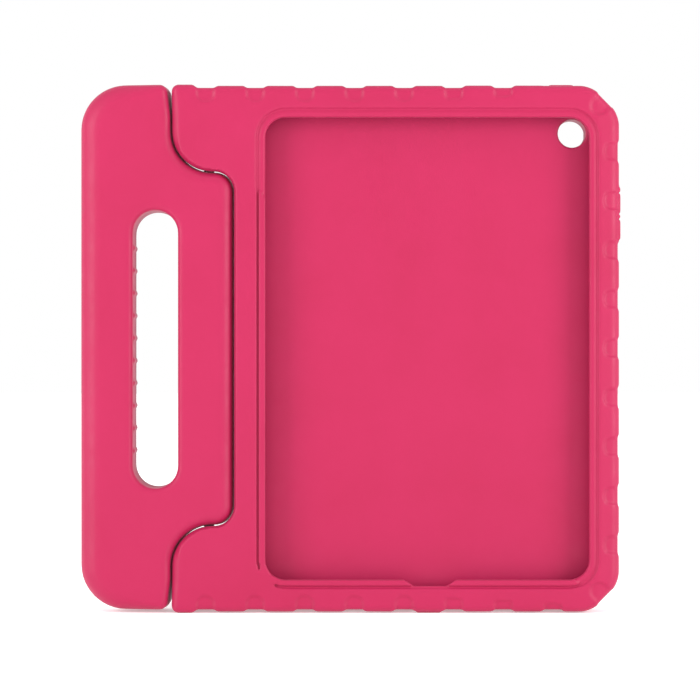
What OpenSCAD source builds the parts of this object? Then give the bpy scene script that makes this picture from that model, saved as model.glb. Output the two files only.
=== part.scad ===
// Shock-absorbing foam tablet case with a swinging carry handle that folds back as a stand.
// Upright: +X right, the screen side faces -Y, +Z up, the origin under the middle of the case.

/* [Case] */
// Overall width, handle included
case_w = 266.8; // [262:0.1:272]
// Overall height
case_h = 260.5; // [258:0.1:264]
// Overall thickness
case_t = 26; // [25:0.5:30]
// Radius of the outer corners of the tray
tray_corner_r = 17; // [14:0.5:19]
// Step that rounds the outer edges
edge_soft = 3; // [2:0.25:4]
// How far the outer walls stand back from the arm ends and pads
wall_set_back = 0.6; // [0.4:0.1:0.8]

/* [Tablet pocket] */
// Tablet width
tablet_w = 169.5; // [168:0.1:171]
// Tablet height
tablet_h = 240; // [238:0.1:241]
// Depth of the pocket
pocket_t = 7.8; // [7:0.1:9]
// Radius of the pocket's corners
pocket_r = 10; // [8:0.5:14]
// Foam between the tablet's front edge and the front face
front_wall = 3.5; // [3:0.1:5]
// Width of the screen opening
screen_w = 159.5; // [156:0.5:161]
// Height of the screen opening
screen_h = 227.6; // [224:0.1:230]
// Width of the lowered lip around the screen opening
lip_w = 4.5; // [3:0.1:5]
// How far the lip is lowered below the front face
lip_drop = 0.9; // [0.5:0.1:1.2]

/* [Handle and hinge] */
// Hinge axis, from the middle of the case
hinge_x = -70.3; // [-72:0.1:-69]
// Height of each hinge arm
arm_h = 42; // [40:0.5:46]
// Radius of the arm's inner corner
arm_corner_r = 19; // [16:0.5:20]
// Gap between handle and tray
gap = 0.9; // [0.8:0.1:1.2]
// Rounding of the handle's edges
handle_soft = 6; // [5:0.5:7]
// Length of the finger slot
slot_l = 136.9; // [120:0.1:140]
// Width of the finger slot
slot_w = 22.2; // [20:0.1:25]
// Number of grip nubs in the slot
nub_count = 10; // [6:1:12]
// Angle that the handle swings back to as a stand
stand_angle = 110; // [90:5:110]
// Radius of the steel hinge pin
pin_r = 2.4; // [2:0.1:3]

/* [Tread and buttons] */
// Width of each tread recess
tread_w = 9; // [7:0.5:11]
// Reach of each recess over the front and back faces
tread_l = 8.3; // [6:0.1:9]
// Depth of the recesses
tread_d = 1; // [0.6:0.1:1.2]
// Spacing of the recesses
tread_pitch = 24.2; // [24:0.05:24.4]
// Height of a button's cap, across the case's thickness
button_t = 6; // [5:0.5:7]

/* [Hidden] */
$fn = 48;
foam = "#E23A6D";
nylon = "#1C1B1E";
steel = "#8E8C8A";

half_t = case_t / 2;
left_x = -case_w / 2;
wall_x = case_w / 2 - wall_set_back - 0.1;
wall_top = case_h - wall_set_back;
wall_bottom = wall_set_back;
mid_z = case_h / 2;
tablet_x = 38.05;
tablet_z = 129.9;
screen_x = 37.85;
screen_z = 130.3;
pocket_y0 = -half_t + front_wall;
pocket_y1 = pocket_y0 + pocket_t;
pocket_right = tablet_x + tablet_w / 2;
pocket_top = tablet_z + tablet_h / 2;
pocket_bottom = tablet_z - tablet_h / 2;
button_y = (pocket_y0 + pocket_y1) / 2;

// Plan of the hinge: every reach is measured from the hinge axis.
arm_reach = 17;
nose_r = arm_reach + 0.3;
barrel_r = half_t;
bay_r = barrel_r + gap + 0.1;
bay_x = hinge_x + bay_r;
arm_z = case_h - arm_h;
hub_corner_r = 10;
hub_corner_x = hinge_x + barrel_r - hub_corner_r;
block_top = arm_z - gap;
corner_x = hinge_x - arm_reach + arm_corner_r;
corner_z = arm_z + arm_corner_r;
handle_in = hinge_x - arm_reach - gap;
handle_bottom = 1.5;
slot_x = hinge_x - 25.8;
slot_z = 129.9;
sweep_l = 40;
edge_gap = 6;
web_y = 5.5;

module at_hinge(z = 0) {
    translate([hinge_x, 0, z]) children();
}

// A plate between two depths, drawn as X and Z.
module plate(y0, y1) {
    rotate([90, 0, 0]) translate([0, 0, -y1]) linear_extrude(y1 - y0) children();
}

module both_ends() {
    children();
    translate([0, 0, case_h]) mirror([0, 0, 1]) children();
}

module round_rect(x0, z0, x1, z1, r) {
    translate([x0 + r, z0]) square([x1 - x0 - 2 * r, z1 - z0]);
    translate([x0, z0 + r]) square([x1 - x0, z1 - z0 - 2 * r]);
    for (x = [x0 + r, x1 - r], z = [z0 + r, z1 - r]) translate([x, z]) circle(r);
}

module centred_rect(x, z, w, h, r) {
    round_rect(x - w / 2, z - h / 2, x + w / 2, z + h / 2, r);
}

module stadium(w, l) {
    square([w, l - w], center = true);
    for (s = [-1, 1]) translate([0, s * (l - w) / 2]) circle(d = w);
}

// The steps that round an edge of radius r: how far short of full thickness, and how far in.
function soft_steps(r) = [for (a = [0:30:90]) [r * (1 - cos(a)), r * (1 - sin(a))]];

// ---- tray ----

module tray_block() {
    x0 = bay_x;
    hull() for (e = soft_steps(edge_soft)) plate(-half_t + e[0], half_t - e[0])
        round_rect(x0 + e[1], wall_bottom + e[1], wall_x - e[1], wall_top - e[1], tray_corner_r - e[1]);
}

// The upper arm: a round nose at its inner end, raised a little at its tip.
module arm() {
    tip_w = 11;
    left = hinge_x - arm_reach;
    hull() for (e = soft_steps(edge_soft)) plate(-half_t + e[0], half_t - e[0]) {
        translate([corner_x, corner_z]) circle(arm_corner_r - e[1]);
        translate([left + e[1], wall_top - 6]) square([tip_w, 6 - e[1]]);
        translate([bay_x + 9, arm_z + e[1]]) square([20, wall_top - arm_z - 2 * e[1]]);
    }
    hull() for (e = soft_steps(edge_soft)) plate(-half_t + e[0], half_t - e[0])
        round_rect(left + e[1], wall_top - 12, left + tip_w - e[1], case_h - e[1], 2.5);
}

// The web that rounds the corner between an arm and the tray's wall, in the front half only.
module corner_web() {
    r = hub_corner_r + gap + 0.1;
    plate(-half_t + edge_soft, -web_y) difference() {
        translate([hub_corner_x, block_top - hub_corner_r]) square([r + 1, r + 1.2]);
        translate([hub_corner_x, block_top - hub_corner_r]) circle(r);
    }
}

// Space that the handle sweeps as it swings back past the arm.
module sweep_space() {
    intersection() {
        at_hinge(arm_z - 20) cylinder(r = bay_r, h = 20);
        at_hinge(arm_z - 21) translate([-20, -web_y, 0]) cube([40, 40, 22]);
    }
    intersection() {
        at_hinge() rotate_extrude() difference() {
            translate([0, arm_z - 0.1]) square([nose_r + 0.2, arm_corner_r]);
            translate([arm_reach - arm_corner_r, corner_z]) circle(arm_corner_r + nose_r - arm_reach);
        }
        at_hinge(arm_z - 1) translate([-30, 0, 0]) cube([60, 30, 60]);
    }
    at_hinge() rotate([0, 0, -stand_angle]) plate(-half_t - 0.4, half_t + 0.4) difference() {
        translate([-arm_reach - edge_gap, arm_z - 0.1]) square([arm_reach + edge_gap, arm_corner_r]);
        translate([-arm_reach + arm_corner_r, corner_z]) circle(arm_corner_r);
    }
}

// The arm's nose turns concentric with the hinge at the back, so the handle passes round it.
module nose_cut() {
    difference() {
        at_hinge(arm_z - 1) translate([-30, 0, 0]) cube([30, 30, 60]);
        at_hinge(arm_z - 2) cylinder(r = nose_r, h = 70);
    }
}

// Relief in the tray's wall beside the handle, sloping away to the back.
module wall_relief() {
    at_hinge(mid_z) rotate([0, 0, -stand_angle]) translate([-sweep_l, -half_t - 0.5, -mid_z + arm_h - gap])
        cube([sweep_l, case_t + 1, case_h - 2 * arm_h + 2 * gap]);
}

// One tread recess: across the outer wall and over both faces, on a wall that faces +X.
module tread(wall) {
    for (y = [-half_t - 1, half_t - tread_d]) plate(y, y + tread_d + 1) {
        translate([wall - tread_l + tread_w / 2, 0]) circle(d = tread_w);
        translate([wall - tread_l + tread_w / 2, -tread_w / 2]) square([tread_l, tread_w]);
    }
    translate([wall - tread_d, -half_t - 1, -tread_w / 2]) cube([tread_l, case_t + 2, tread_w]);
}

module treads() {
    top_x = -71.3;
    right_z = 33.7;
    for (i = [0:7]) translate([top_x + i * (tread_pitch + 0.22), 0, 0]) {
        if (i != 7) translate([0, 0, mid_z]) rotate([0, -90, 0]) tread(wall_top - mid_z);
        translate([0, 0, mid_z]) rotate([0, 90, 0]) tread(mid_z - wall_bottom);
    }
    for (i = [0:8]) translate([0, 0, right_z + i * tread_pitch]) tread(wall_x);
    for (s = [-1, 1])
            translate([wall_x - tray_corner_r, 0, mid_z + s * (mid_z - wall_set_back - tray_corner_r)])
        rotate([0, -s * 45, 0]) tread(tray_corner_r);
}

// Pads that stand proud over the buttons and the charging port.
module pads() {
    hull() for (c = [0, 1.5]) plate(-9 - c, 9 + c) {
        translate([55 + 1.5 - c, wall_top - 3]) square([41 - 3 + 2 * c, 3.1 - c / 15]);
    }
    plate(-9, 9) translate([27, 0]) square([23, 4]);
    plate(-9, 9) translate([wall_x - 3, 183]) square([3.6, 25]);
}

module screen_opening(grow = 0) {
    notch_w = 17.2;
    notch_slope = 5;
    notch_d = 3.2;
    x = screen_x + 1.35;
    low = screen_z - screen_h / 2;
    centred_rect(screen_x, screen_z, screen_w + 2 * grow, screen_h + 2 * grow, pocket_r + grow);
    if (grow == 0) polygon([[x - notch_w / 2 - notch_slope, low + 0.1], [x - notch_w / 2, low - notch_d],
        [x + notch_w / 2, low - notch_d], [x + notch_w / 2 + notch_slope, low + 0.1]]);
}

module button_slot(l) {
    clear = 0.3;
    translate([0, -button_t / 2 - clear, -l / 2 - clear]) cube([20, button_t + 2 * clear, l + 2 * clear]);
    translate([-1, -button_t / 2 - 1.5, -l / 2 - 1.5]) cube([3, button_t + 3, l + 3]);
}

module ports() {
    translate([tablet_x, button_y, -1]) rotate([-90, 0, 0]) rotate([90, 0, 0]) {
        linear_extrude(pocket_bottom + 3) for (s = [-1, 1]) {
            translate([s * 4.8, 0]) circle(d = 7);
            translate([-4.8, -3.5]) square([9.6, 7]);
        }
        for (s = [-1, 1]) linear_extrude(pocket_bottom + 3) translate([s * 32, 0]) {
            square([18, 3.4], center = true);
            for (e = [-1, 1]) translate([e * 9, 0]) circle(d = 3.4);
        }
    }
    translate([tablet_x - tablet_w / 2 + 15, button_y, pocket_top - 2]) cylinder(d = 7.2, h = 20);
    translate([pocket_right - 12.8, pocket_y1 - 1, pocket_top - 12.8])
        rotate([-90, 0, 0]) cylinder(d = 14, h = 20);
}

module body_shell() color(foam) difference() {
    union() {
        tray_block();
        both_ends() {
            arm();
            corner_web();
        }
        pads();
    }
    treads();
    plate(pocket_y0, pocket_y1) centred_rect(tablet_x, tablet_z, tablet_w, tablet_h, pocket_r);
    plate(-half_t - 1, pocket_y0 + 1) screen_opening();
    plate(-half_t - 1, -half_t + lip_drop) screen_opening(lip_w);
    both_ends() {
        sweep_space();
        nose_cut();
        at_hinge(arm_z + skin - 0.1) cylinder(r = socket_r + 0.05, h = socket_h + 0.2);
        at_hinge(arm_z - 1) cylinder(r = pin_r + 0.1, h = skin + 2);
    }
    wall_relief();
    ports();
    translate([pocket_right, button_y, volume_up_z]) button_slot(volume_l);
    translate([pocket_right, button_y, volume_down_z]) button_slot(volume_l);
    translate([power_x, button_y, pocket_top]) rotate([0, -90, 0]) button_slot(power_l);
}

// ---- handle ----

module handle_corners(c) {
    big_r = 22;
    small_r = 8;
    for (s = [0, 1]) {
        translate([left_x + big_r, s ? case_h - big_r : handle_bottom + big_r]) circle(big_r - c);
        translate([handle_in - small_r, s ? case_h - small_r : handle_bottom + small_r]) circle(small_r - c);
    }
}

module handle_frame() {
    hull() for (e = soft_steps(handle_soft)) plate(-half_t + e[0], half_t - e[0]) handle_corners(e[1]);
}

// The block between the arms: square at the front, coaxial with the hinge at the back.
module handle_block() {
    rise = block_top - mid_z;
    bottom = case_h - block_top;
    left = handle_in - 12;
    difference() {
        hull() for (e = soft_steps(handle_soft)) plate(-half_t + e[0], half_t - e[0]) {
            translate([left, bottom + e[1]]) square([hub_corner_x - left, 2 * (rise - e[1])]);
            for (s = [-1, 1]) translate([hub_corner_x, mid_z + s * (rise - hub_corner_r)])
                circle(hub_corner_r - e[1]);
        }
        at_hinge() cube([20, 20, case_h]);
    }
    intersection() {
        at_hinge(mid_z) rotate_extrude() intersection() {
            translate([0, -rise]) square([barrel_r, 2 * rise]);
            union() {
                translate([0, -rise]) square([barrel_r - hub_corner_r, 2 * rise]);
                translate([0, -rise + hub_corner_r]) square([barrel_r, 2 * (rise - hub_corner_r)]);
                for (s = [-1, 1]) translate([barrel_r - hub_corner_r, s * (rise - hub_corner_r)])
                    circle(hub_corner_r);
            }
        }
        at_hinge() translate([-0.5, -0.5, 0]) cube([20, 20, case_h]);
    }
}

// The sweep from the block's top up into the handle's tall outer part.
module shoulder() {
    top = corner_z + 4;
    hull_x = handle_in - 10;
    difference() {
        hull() for (e = [[0, handle_soft], [handle_soft, 0]])
            plate(-half_t + e[0], half_t - e[0]) {
                translate([hull_x, block_top - 16]) square([corner_x - hull_x - e[1], 16 - e[1]]);
                translate([hull_x, top - 10]) square([handle_in - hull_x - e[1], 10]);
            }
        translate([corner_x, 0, corner_z]) rotate([90, 0, 0])
            cylinder(r = arm_corner_r + gap, h = case_t + 2, center = true);
    }
}

module nubs() {
    pitch = 11.15;
    nub_r = 1.3;
    for (i = [0:nub_count - 1])
        translate([slot_x - slot_w / 2 - 0.3, 0, slot_z + (i - (nub_count - 1) / 2) * pitch])
            rotate([90, 0, 0]) cylinder(r = nub_r, h = 16, center = true);
}

module handle_grip() color(foam) difference() {
    union() {
        difference() {
            union() {
                handle_frame();
                handle_block();
                both_ends() shoulder();
            }
            plate(-half_t - 1, half_t + 1) translate([slot_x, slot_z]) stadium(slot_w, slot_l);
        }
        nubs();
    }
    both_ends() {
        at_hinge(block_top - skin - hub_h - 0.1) cylinder(r = socket_r + 0.05, h = hub_h + 0.2);
        at_hinge(block_top - skin - 1) cylinder(r = pin_r + 0.5, h = skin + 2);
    }
}

// ---- buttons ----

power_x = 104;
power_l = 13;
volume_l = 10.5;
volume_up_z = 202;
volume_down_z = 189;
cap_l = case_w / 2 - pocket_right;

module button(l, h) {
    translate([0.2, -button_t / 2 - 1, -l / 2 - 1]) cube([1.4, button_t + 2, l + 2]);
    hull() for (c = [0, 0.8]) translate([0.2, -button_t / 2 + c, -l / 2 + c])
        cube([h - 0.2 - 0.8 + c, button_t - 2 * c, l - 2 * c]);
}

module power_button() color(foam)
    translate([power_x, button_y, pocket_top]) rotate([0, -90, 0]) button(power_l, case_h - pocket_top);
module volume_up_button() color(foam)
    translate([pocket_right, button_y, volume_up_z]) button(volume_l, cap_l);
module volume_down_button() color(foam)
    translate([pocket_right, button_y, volume_down_z]) button(volume_l, cap_l);

// ---- hinge hardware, drawn for the upper hinge around z = 0 at the arm's face ----

socket_r = 6.4;
barb_drop = 0.5;
socket_h = 22;
hub_h = 23;
ring_z = 15.6;
skin = 3;
ring_t = 0.7;
head_z = -21;
chamber_r = 4.9;
fit = 0.05;

module barbed(h) {
    cylinder(r = socket_r - barb_drop, h = h);
    for (z = [0:5:h - 2]) translate([0, 0, z]) cylinder(r = socket_r, h = 2);
}

module arm_socket() color(nylon) difference() {
    translate([0, 0, skin]) barbed(socket_h);
    cylinder(r = pin_r + fit, h = ring_z - 0.1);
    translate([0, 0, ring_z - 0.1]) cylinder(r = chamber_r, h = 4);
}

module handle_hub() color(nylon) difference() {
    translate([0, 0, -hub_h - gap - skin]) barbed(hub_h);
    translate([0, 0, -16]) cylinder(r = pin_r + fit, h = 20);
    translate([0, 0, head_z - 1.6]) cylinder(r = chamber_r, h = 6.6);
}

module hinge_pin() color(steel) difference() {
    union() {
        translate([0, 0, head_z + 0.1]) cylinder(r = pin_r, h = ring_z - head_z + 2);
        translate([0, 0, head_z - 1.4]) cylinder(r = 4.4, h = 1.5);
        translate([0, 0, -gap - 0.02]) cylinder(r = pin_r + 0.3, h = gap - 0.06);
    }
    translate([0, 0, ring_z]) difference() {
        cylinder(r = pin_r + 1, h = ring_t);
        cylinder(r = pin_r - 0.5, h = ring_t);
    }
}

module thrust_washer() color(nylon) translate([0, 0, -16.9]) difference() {
    cylinder(r = 4.4, h = 0.8);
    translate([0, 0, -1]) cylinder(r = pin_r + fit, h = 3);
}

module spring_washer() color(steel) translate([0, 0, head_z + 0.15]) rotate_extrude()
    polygon([[pin_r + 0.2, 2.5], [pin_r + 0.2, 3.1], [4.4, 0.6], [4.4, 0]]);

module retaining_ring() color(steel) translate([0, 0, ring_z + 0.04]) difference() {
    cylinder(r = 4.2, h = ring_t - 0.08);
    translate([0, 0, -1]) cylinder(r = pin_r - 0.45, h = 3);
    translate([0, 0, -1]) rotate([0, 0, -25]) cube([6, 3, 3]);
}

module upper() {
    at_hinge(arm_z) children();
}

module lower() {
    at_hinge(arm_h) mirror([0, 0, 1]) children();
}

body_shell();
handle_grip();
power_button();
volume_up_button();
volume_down_button();
upper() arm_socket();  // upper_arm_socket
upper() handle_hub();  // upper_handle_hub
upper() hinge_pin();  // upper_hinge_pin
upper() thrust_washer();  // upper_thrust_washer
upper() spring_washer();  // upper_spring_washer
upper() retaining_ring();  // upper_retaining_ring
lower() arm_socket();  // lower_arm_socket
lower() handle_hub();  // lower_handle_hub
lower() hinge_pin();  // lower_hinge_pin
lower() thrust_washer();  // lower_thrust_washer
lower() spring_washer();  // lower_spring_washer
lower() retaining_ring();  // lower_retaining_ring
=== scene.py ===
"""A soft foam tablet case with a carry handle that swings back on two hinges to make a stand.

The case stands upright: +X to the right, the screen side faces -Y, +Z up. Sizes in the classes are
millimetres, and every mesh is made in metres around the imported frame's own origin.
"""

from __future__ import annotations

import logging
import math
from contextlib import contextmanager
from dataclasses import dataclass, field
from enum import Enum
from typing import Callable, Iterable, Iterator, Sequence

import bmesh
import bpy
from bmesh.types import BMEdge, BMesh, BMFace, BMVert
from bpy.types import Material, Node, NodeSocket, Object
from mathutils import Matrix, Vector

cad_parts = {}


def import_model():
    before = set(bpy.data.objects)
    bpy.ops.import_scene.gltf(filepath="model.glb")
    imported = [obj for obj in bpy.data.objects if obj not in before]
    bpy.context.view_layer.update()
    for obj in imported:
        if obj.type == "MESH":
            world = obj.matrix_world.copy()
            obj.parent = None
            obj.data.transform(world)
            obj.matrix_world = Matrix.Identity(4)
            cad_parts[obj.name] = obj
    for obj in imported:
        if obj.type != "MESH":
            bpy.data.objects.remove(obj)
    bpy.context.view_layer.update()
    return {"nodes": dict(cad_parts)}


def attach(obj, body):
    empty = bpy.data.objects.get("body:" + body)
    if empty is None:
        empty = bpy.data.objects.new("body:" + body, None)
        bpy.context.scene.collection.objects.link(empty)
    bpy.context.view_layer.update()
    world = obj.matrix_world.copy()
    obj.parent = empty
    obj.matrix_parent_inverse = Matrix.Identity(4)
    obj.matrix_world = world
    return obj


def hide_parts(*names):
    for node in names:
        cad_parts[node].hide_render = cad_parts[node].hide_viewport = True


log = logging.getLogger("tablet_case")
MM = 0.001
CORNER_STEPS = 12
EDGE_STEPS = 7
QUARTER = tuple(math.radians(15 * i) for i in range(7))

Corner = tuple[float, float, float]
Colour = tuple[float, float, float]


class Body(str, Enum):
    """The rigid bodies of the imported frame."""

    CASE = "case"
    HANDLE = "handle"
    POWER = "power_key"
    VOLUME_UP = "volume_up_key"
    VOLUME_DOWN = "volume_down_key"


class Cut(str, Enum):
    """How one solid changes another."""

    TAKE_AWAY = "DIFFERENCE"
    ADD = "UNION"
    KEEP = "INTERSECT"


# ---------------------------------------------------------------- finishes


class Nodes:
    """A short way to write a material's node tree."""

    def __init__(self, name: str) -> None:
        """Starts a material with a Principled shader and an output.

        Args:
            name: the material's name.
        """
        self.material = bpy.data.materials.new(name)
        self.material.use_nodes = True
        self.tree = self.material.node_tree
        self.shader = self.tree.nodes["Principled BSDF"]
        self.place = self.add("ShaderNodeTexCoord").outputs["Object"]

    def add(self, kind: str, **settings: object) -> Node:
        """Adds a node and sets its properties.

        Args:
            kind: the node's type.
            settings: property names and values.

        Returns:
            The new node.
        """
        node = self.tree.nodes.new(kind)
        for name, value in settings.items():
            setattr(node, name, value)
        return node

    def link(self, source: NodeSocket, target: NodeSocket) -> None:
        """Joins two sockets."""
        self.tree.links.new(source, target)

    def feed(self, name: str, source: NodeSocket) -> None:
        """Joins a value to one of the shader's own sockets."""
        self.link(source, self.shader.inputs[name])

    def noise(self, scale: float, detail: float = 4.0, rough: float = 0.5) -> NodeSocket:
        """Adds a noise pattern on object coordinates.

        Args:
            scale: features per metre.
            detail: octaves.
            rough: how strong the finer octaves are.

        Returns:
            The noise value.
        """
        node = self.add("ShaderNodeTexNoise")
        self.link(self.place, node.inputs["Vector"])
        node.inputs["Scale"].default_value = scale
        node.inputs["Detail"].default_value = detail
        node.inputs["Roughness"].default_value = rough
        return node.outputs["Fac"]

    def cells(self, scale: float) -> NodeSocket:
        """Adds a cell pattern on object coordinates.

        Args:
            scale: cells per metre.

        Returns:
            The distance to the nearest cell's middle.
        """
        node = self.add("ShaderNodeTexVoronoi", feature="F1")
        self.link(self.place, node.inputs["Vector"])
        node.inputs["Scale"].default_value = scale
        return node.outputs["Distance"]

    def ramp(self, value: NodeSocket, stops: Sequence[tuple[float, Colour]]) -> NodeSocket:
        """Maps a value to colours.

        Args:
            value: the driving value.
            stops: positions and colours, from low to high.

        Returns:
            The colour.
        """
        node = self.add("ShaderNodeValToRGB")
        self.link(value, node.inputs["Fac"])
        elements = node.color_ramp.elements
        for index, (position, colour) in enumerate(stops):
            element = elements[index] if index < len(elements) else elements.new(position)
            element.position = position
            element.color = (*colour, 1.0)
        return node.outputs["Color"]

    def span(self, value: NodeSocket, low: float, high: float,
             out_low: float, out_high: float) -> NodeSocket:
        """Maps a value from one range to another.

        Args:
            value: the driving value.
            low: the value that gives out_low.
            high: the value that gives out_high.
            out_low: the lowest result.
            out_high: the highest result.

        Returns:
            The mapped value.
        """
        node = self.add("ShaderNodeMapRange", clamp=True)
        self.link(value, node.inputs["Value"])
        for name, number in (("From Min", low), ("From Max", high), ("To Min", out_low), ("To Max", out_high)):
            node.inputs[name].default_value = number
        return node.outputs["Result"]

    def multiply(self, first: NodeSocket, second: NodeSocket) -> NodeSocket:
        """Multiplies two values."""
        node = self.add("ShaderNodeMath", operation="MULTIPLY")
        self.link(first, node.inputs[0])
        self.link(second, node.inputs[1])
        return node.outputs["Value"]

    def tint(self, colour: NodeSocket, shade: Colour, amount: NodeSocket) -> NodeSocket:
        """Mixes a colour towards a shade.

        Args:
            colour: the colour to start from.
            shade: the colour to go to.
            amount: how far, from 0 to 1.

        Returns:
            The mixed colour.
        """
        node = self.add("ShaderNodeMix", data_type="RGBA")
        self.link(amount, node.inputs["Factor"])
        self.link(colour, node.inputs[6])
        node.inputs[7].default_value = (*shade, 1.0)
        return node.outputs[2]

    def bumps(self, heights: Iterable[tuple[NodeSocket, float, float]]) -> None:
        """Stacks bumps onto the shader's normal.

        Args:
            heights: height values, each with a strength and a distance in metres.
        """
        normal = None
        for height, strength, distance in heights:
            node = self.add("ShaderNodeBump")
            self.link(height, node.inputs["Height"])
            node.inputs["Strength"].default_value = strength
            node.inputs["Distance"].default_value = distance
            if normal is not None:
                self.link(normal, node.inputs["Normal"])
            normal = node.outputs["Normal"]
        if normal is not None:
            self.feed("Normal", normal)

    def set(self, **values: object) -> None:
        """Sets shader sockets by name, with spaces written as underscores."""
        for name, value in values.items():
            self.shader.inputs[name.replace("_", " ")].default_value = value


@dataclass(frozen=True)
class FoamFinish:
    """Moulded closed-cell foam: a matt skin with a fine grain, a soft sheen, painted shade in its pores and a
    painted highlight along its edges.
    """

    name: str = "rose_foam"
    base: Colour = (0.352, 0.0050, 0.056)
    pale: Colour = (0.361, 0.0055, 0.059)
    # the deep tone, used in the random mottle and for the painted shade in the pores
    deep: Colour = (0.342, 0.0045, 0.052)
    # a paler, whiter pink painted along convex edges as a highlight
    edge_highlight: Colour = (0.42, 0.018, 0.088)
    roughness: float = 0.52
    grain_scale: float = 2600.0
    pore_scale: float = 950.0
    mottle_scale: float = 26.0

    def make(self) -> Material:
        """Builds the material.

        Returns:
            The foam material.
        """
        n = Nodes(self.name)
        mottle = n.noise(self.mottle_scale, detail=5.0, rough=0.55)
        colour = n.ramp(mottle, ((0.30, self.deep), (0.50, self.base), (0.72, self.pale)))
        pores = n.cells(self.pore_scale)
        # Painted shade: the middle of each pore is tinted slightly towards the deep tone.
        colour = n.tint(colour, self.deep, n.span(pores, 0.0, 0.30, 0.16, 0.0))
        # Painted highlight: convex edges, found by pointiness, are tinted in noisy patches towards a paler,
        # whiter pink that stands in for bright edge light.
        edge = n.add("ShaderNodeNewGeometry").outputs["Pointiness"]
        highlight_patches = n.span(n.noise(310.0, detail=6.0, rough=0.7), 0.42, 0.62, 0.25, 1.0)
        painted_highlight = n.multiply(n.span(edge, 0.515, 0.60, 0.0, 0.28), highlight_patches)
        colour = n.tint(colour, self.edge_highlight, painted_highlight)
        n.feed("Base Color", colour)
        rough = n.span(n.noise(140.0, detail=4.0), 0.30, 0.70, self.roughness - 0.05, self.roughness + 0.07)
        n.feed("Roughness", rough)
        grain = n.noise(self.grain_scale, detail=3.0, rough=0.65)
        n.bumps((
            (n.noise(60.0, detail=2.0), 0.05, 0.0006),
            (n.span(pores, 0.0, 0.45, 0.0, 1.0), 0.10, 0.00012),
            (grain, 0.16, 0.00010),
        ))
        n.set(Specular_IOR_Level=0.32, Sheen_Weight=0.10, Sheen_Roughness=0.42,
              Sheen_Tint=(1.0, 0.70, 0.80, 1.0))
        return n.material


@dataclass(frozen=True)
class NylonFinish:
    """Moulded black nylon with a fine spark-eroded texture."""

    name: str = "black_nylon"
    base: Colour = (0.016, 0.015, 0.017)
    pale: Colour = (0.030, 0.028, 0.031)
    roughness: float = 0.42

    def make(self) -> Material:
        """Builds the material.

        Returns:
            The nylon material.
        """
        n = Nodes(self.name)
        n.feed("Base Color", n.ramp(n.noise(420.0, detail=5.0), ((0.35, self.base), (0.70, self.pale))))
        rough = n.span(n.noise(900.0, detail=3.0), 0.3, 0.7, self.roughness - 0.08, self.roughness + 0.12)
        n.feed("Roughness", rough)
        n.bumps(((n.noise(5200.0, detail=2.0), 0.22, 0.00005),))
        n.set(Specular_IOR_Level=0.5)
        return n.material


@dataclass(frozen=True)
class SteelFinish:
    """Turned steel, blackened and oiled, with fine lathe lines round the hinge axis."""

    name: str = "oiled_steel"
    base: Colour = (0.16, 0.155, 0.15)
    bright: Colour = (0.46, 0.45, 0.43)
    roughness: float = 0.30

    def make(self) -> Material:
        """Builds the material.

        Returns:
            The steel material.
        """
        n = Nodes(self.name)
        lines = n.add("ShaderNodeTexWave", wave_type="BANDS", bands_direction="Z")
        n.link(n.place, lines.inputs["Vector"])
        lines.inputs["Scale"].default_value = 3400.0
        lines.inputs["Distortion"].default_value = 0.6
        stain = n.noise(700.0, detail=6.0, rough=0.65)
        n.feed("Base Color", n.ramp(stain, ((0.35, self.base), (0.75, self.bright))))
        rough = n.span(n.noise(1500.0, detail=4.0), 0.3, 0.7, self.roughness - 0.08, self.roughness + 0.14)
        n.feed("Roughness", rough)
        n.bumps(((lines.outputs["Fac"], 0.25, 0.00002),))
        n.set(Metallic=1.0)
        return n.material


@dataclass(frozen=True)
class StageFinish:
    """Matt white paint for the floor."""

    name: str = "studio_white"
    colour: Colour = (0.93, 0.93, 0.93)
    glow: float = 0.35

    def make(self) -> Material:
        """Builds the material.

        Returns:
            The white material.
        """
        n = Nodes(self.name)
        n.set(Base_Color=(*self.colour, 1.0), Roughness=0.9, Specular_IOR_Level=0.1,
              Emission_Color=(1.0, 1.0, 1.0, 1.0), Emission_Strength=self.glow)
        return n.material


# ---------------------------------------------------------------- shaping tools


def millimetres(*values: float) -> Vector:
    """A point in metres from millimetres."""
    return Vector(values) * MM


def new_piece(name: str, bm: BMesh) -> Object:
    """Turns a bmesh into an object at the origin.

    Args:
        name: the object's name.
        bm: the mesh, which is freed.

    Returns:
        The new object.
    """
    bmesh.ops.recalc_face_normals(bm, faces=bm.faces[:])
    mesh = bpy.data.meshes.new(name)
    bm.to_mesh(mesh)
    bm.free()
    piece = bpy.data.objects.new(name, mesh)
    bpy.context.scene.collection.objects.link(piece)
    return piece


@contextmanager
def opened(piece: Object) -> Iterator[BMesh]:
    """Opens a piece's mesh for changes and then writes it back.

    Args:
        piece: the piece.

    Yields:
        The open mesh.
    """
    bm = bmesh.new()
    bm.from_mesh(piece.data)
    yield bm
    bm.to_mesh(piece.data)
    bm.free()


def split(bm: BMesh, at: Sequence[float], normal: Sequence[float]) -> None:
    """Splits a mesh's faces along a plane."""
    bmesh.ops.bisect_plane(bm, geom=bm.verts[:] + bm.edges[:] + bm.faces[:], plane_co=at, plane_no=normal)


def outline_face(bm: BMesh, corners: Sequence[Corner], depth: float) -> BMFace:
    """Draws a flat outline in X and Z and rounds each corner by its own radius.

    Args:
        bm: the mesh to draw in.
        corners: X, Z and corner radius of each corner, in order.
        depth: the outline's Y.

    Returns:
        The outline's face.
    """
    known = set(bm.faces)
    verts = [bm.verts.new(millimetres(x, depth, z)) for x, z, _ in corners]
    bm.faces.new(verts)
    for vert, (_, _, radius) in zip(verts, corners):
        if radius > 0:
            bmesh.ops.bevel(bm, geom=[vert], offset=radius * MM, offset_type="OFFSET", segments=CORNER_STEPS,
                            profile=0.5, affect="VERTICES", material=-1, clamp_overlap=False)
    return next(f for f in bm.faces if f not in known)


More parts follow.
